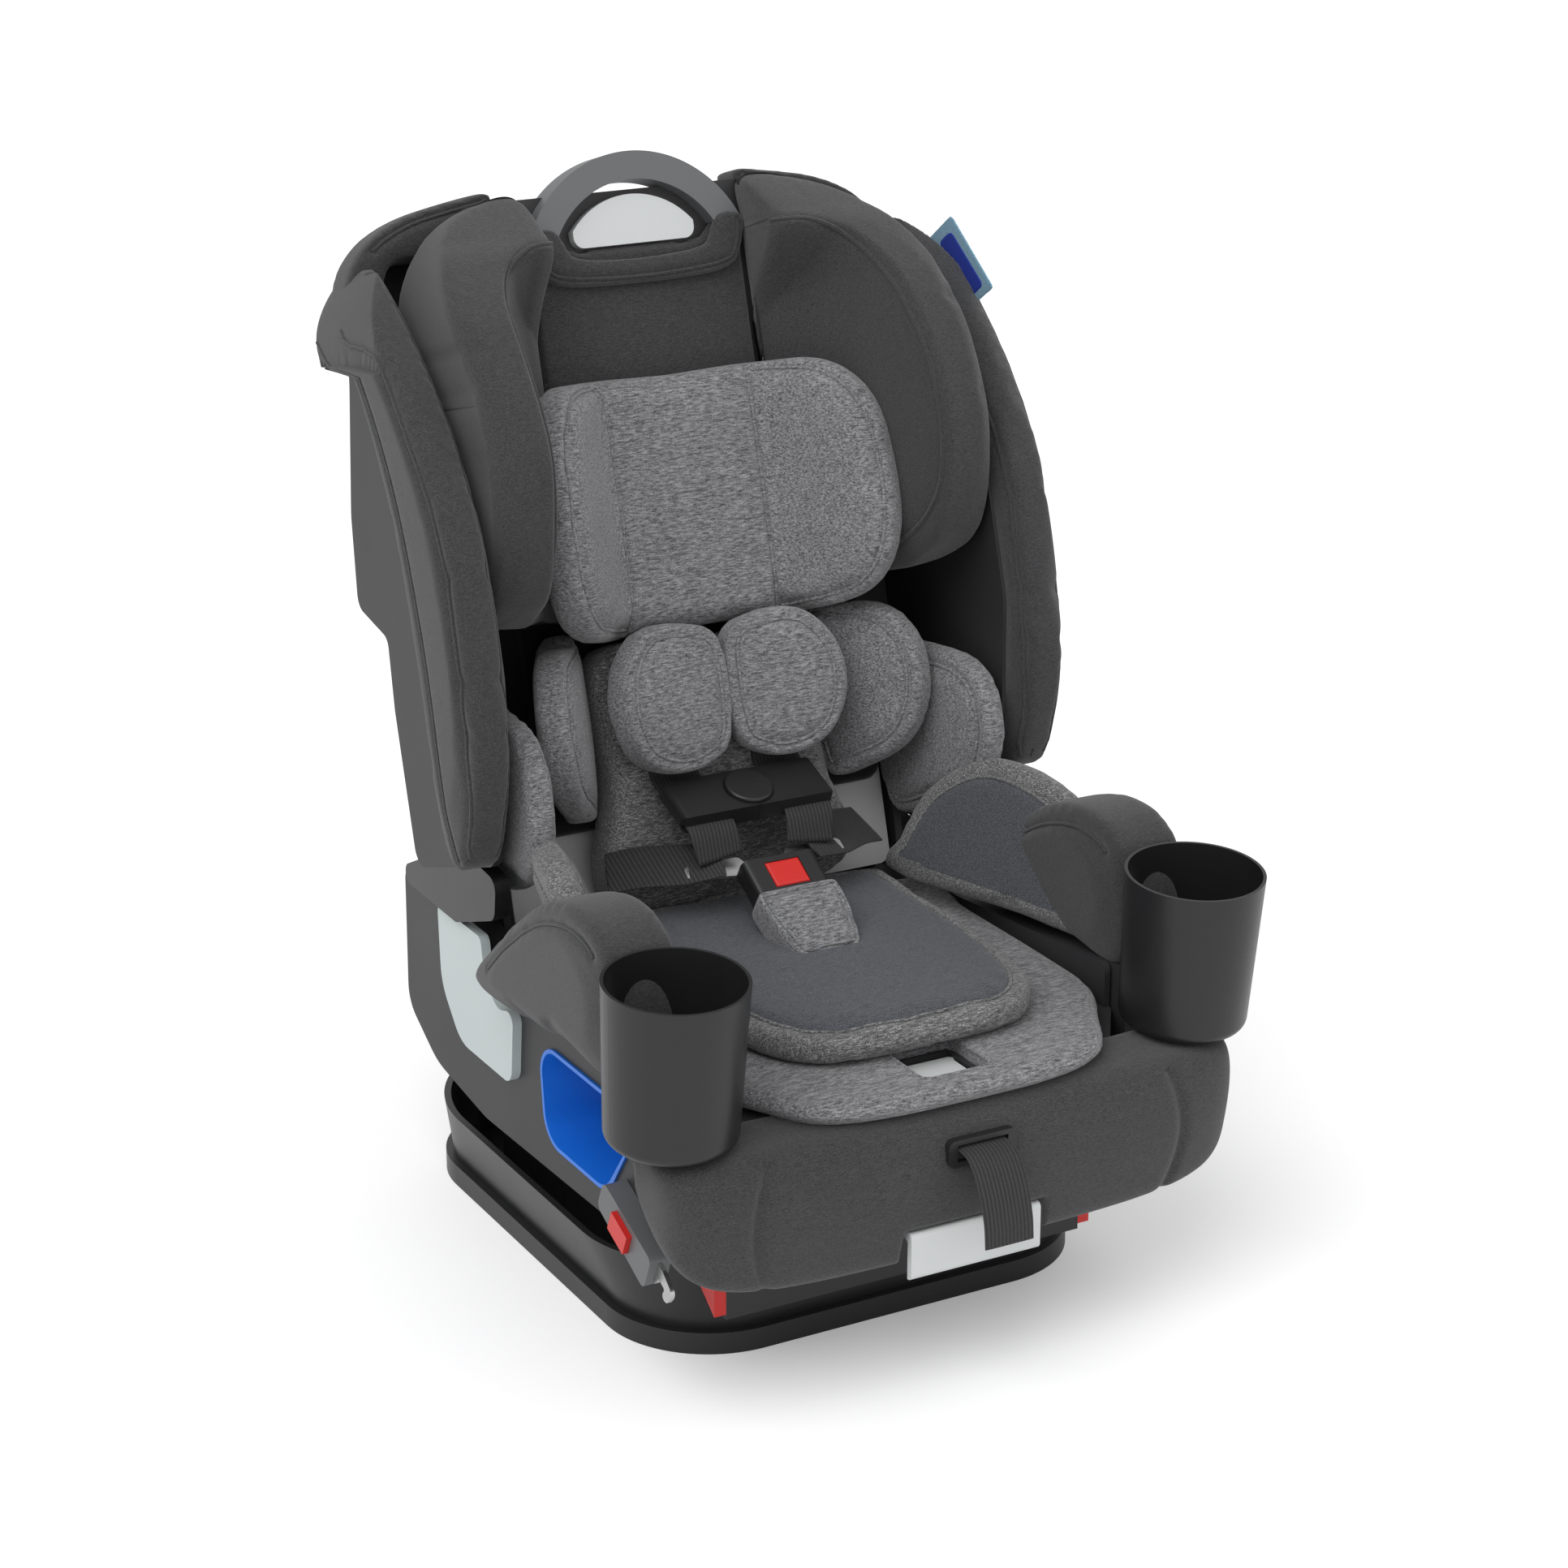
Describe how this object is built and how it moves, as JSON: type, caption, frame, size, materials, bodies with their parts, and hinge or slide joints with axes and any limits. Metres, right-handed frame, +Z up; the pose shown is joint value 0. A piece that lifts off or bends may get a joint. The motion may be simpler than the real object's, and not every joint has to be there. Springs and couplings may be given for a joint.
{
  "type": "convertible car seat",
  "caption": "Convertible child car seat on a rocking recline base, with a padded bucket seat, sliding headrest, harness, belt path and cup holders.",
  "frame": {"origin": "centre of the base's footprint, on the surface it stands on", "axes": "+Z up, the seat faces -Y, +X to the child's left-hand side when facing the seat"},
  "size_m": [0.491, 0.5894, 0.7484],
  "materials": {
    "base_plastic": "satin black moulded",
    "shell_plastic": "fine texture, dark grey",
    "black_plastic": "satin black",
    "charcoal_fabric": "charcoal heather knit",
    "melange_fabric": "grey melange knit",
    "lining_fabric": "black lining",
    "webbing": "black woven webbing",
    "foam": "expanded foam",
    "handle_grey": "mid grey moulded",
    "lever_white": "pale grey moulded",
    "belt_blue": "bright blue moulded",
    "guide_grey": "pale grey-green moulded",
    "red_plastic": "red moulded",
    "steel": "plain steel",
    "rubber": "moulded",
    "tag_fabric": "pale blue woven"
  },
  "bodies": {
    "base": {"base_shell": "base_plastic", "foot_pads": "rubber", "base_tracks": "base_plastic", "recline_housing": "base_plastic", "lock_indicators": "red_plastic"},
    "headrest": {"headrest_shell": "shell_plastic", "headrest_carrier": "shell_plastic", "headrest_panel": "charcoal_fabric", "headrest_wing_left": "charcoal_fabric", "headrest_wing_right": "charcoal_fabric", "handle_arch": "handle_grey", "handle_collar": "charcoal_fabric", "head_pillow": "melange_fabric", "neck_pillow": "melange_fabric"},
    "headrest_lever": {"headrest_lever": "lever_white"},
    "recline_handle": {"recline_handle": "lever_white"},
    "release_lever": {"harness_release_lever": "lever_white"},
    "buckle_button": {"buckle_button": "red_plastic"},
    "chest_clip_button": {"chest_clip_button": "black_plastic"},
    "anchor_button_left": {"anchor_button_left": "red_plastic"},
    "anchor_button_right": {"anchor_button_right": "red_plastic"},
    "seat": {"adjuster_bezel": "black_plastic", "adjuster_strap": "webbing", "anchor_connectors": "handle_grey", "anchor_hooks": "steel", "armrest_pad_left": "charcoal_fabric", "armrest_pad_right": "charcoal_fabric", "back_foam": "foam", "back_lining": "lining_fabric", "back_pivot_pins": "steel", "back_shell": "shell_plastic", "back_wing_pads": "melange_fabric", "belt_guides": "guide_grey", "belt_liners": "belt_blue", "boot_cover": "charcoal_fabric", "buckle_housing": "black_plastic", "buckle_tongues": "steel", "chest_clip": "black_plastic", "crotch_cover": "melange_fabric", "crotch_strap": "webbing", "cup_holder_left": "black_plastic", "cup_holder_right": "black_plastic", "fabric_tag": "tag_fabric", "guide_channel": "black_plastic", "handle_guide": "shell_plastic", "hinge_covers": "black_plastic", "lap_insert": "melange_fabric", "lap_straps": "webbing", "lap_wing_left": "melange_fabric", "lap_wing_right": "melange_fabric", "outer_wing_left": "charcoal_fabric", "outer_wing_right": "charcoal_fabric", "release_frame": "shell_plastic", "rocker_rails": "base_plastic", "seat_pad": "melange_fabric", "seat_shell": "shell_plastic", "shoulder_straps": "webbing", "side_panels": "shell_plastic", "torso_pad": "lining_fabric", "torso_wings": "melange_fabric"}
  },
  "joints": [
    {"name": "recline", "type": "hinge", "parent": "base", "child": "seat", "pos_m": [0, 0, 0.45], "axis": [-1, 0, 0], "range_deg": [0, 18]},
    {"name": "headrest_slide", "type": "slide", "parent": "seat", "child": "headrest", "axis": [0, 0.2756, 0.9613], "range_m": [0, 0.17]},
    {"name": "headrest_lever_squeeze", "type": "slide", "parent": "headrest", "child": "headrest_lever", "axis": [0, 0.2756, 0.9613], "range_m": [0, 0.008], "stiffness_N_per_m": 600, "springref_m": -0.005},
    {"name": "recline_handle_pull", "type": "slide", "parent": "seat", "child": "recline_handle", "axis": [0, -1, 0], "range_m": [0, 0.012], "stiffness_N_per_m": 800, "springref_m": -0.006},
    {"name": "release_lever_press", "type": "hinge", "parent": "seat", "child": "release_lever", "pos_m": [0, -0.247, 0.2025], "axis": [1, 0, 0], "range_deg": [0, 12], "stiffness_Nm_per_rad": 0.6, "springref_deg": -17.19},
    {"name": "buckle_button_press", "type": "slide", "parent": "seat", "child": "buckle_button", "axis": [0, 0.515, -0.8572], "range_m": [0, 0.0035], "stiffness_N_per_m": 1500, "springref_m": -0.002},
    {"name": "chest_clip_button_press", "type": "slide", "parent": "seat", "child": "chest_clip_button", "axis": [0, 0.3584, -0.9336], "range_m": [0, 0.003], "stiffness_N_per_m": 1200, "springref_m": -0.002},
    {"name": "anchor_button_press_left", "type": "slide", "parent": "seat", "child": "anchor_button_left", "axis": [1, 0, 0], "range_m": [0, 0.004], "stiffness_N_per_m": 900, "springref_m": -0.002},
    {"name": "anchor_button_press_right", "type": "slide", "parent": "seat", "child": "anchor_button_right", "axis": [-1, 0, 0], "range_m": [0, 0.004], "stiffness_N_per_m": 900, "springref_m": -0.002}
  ]
}
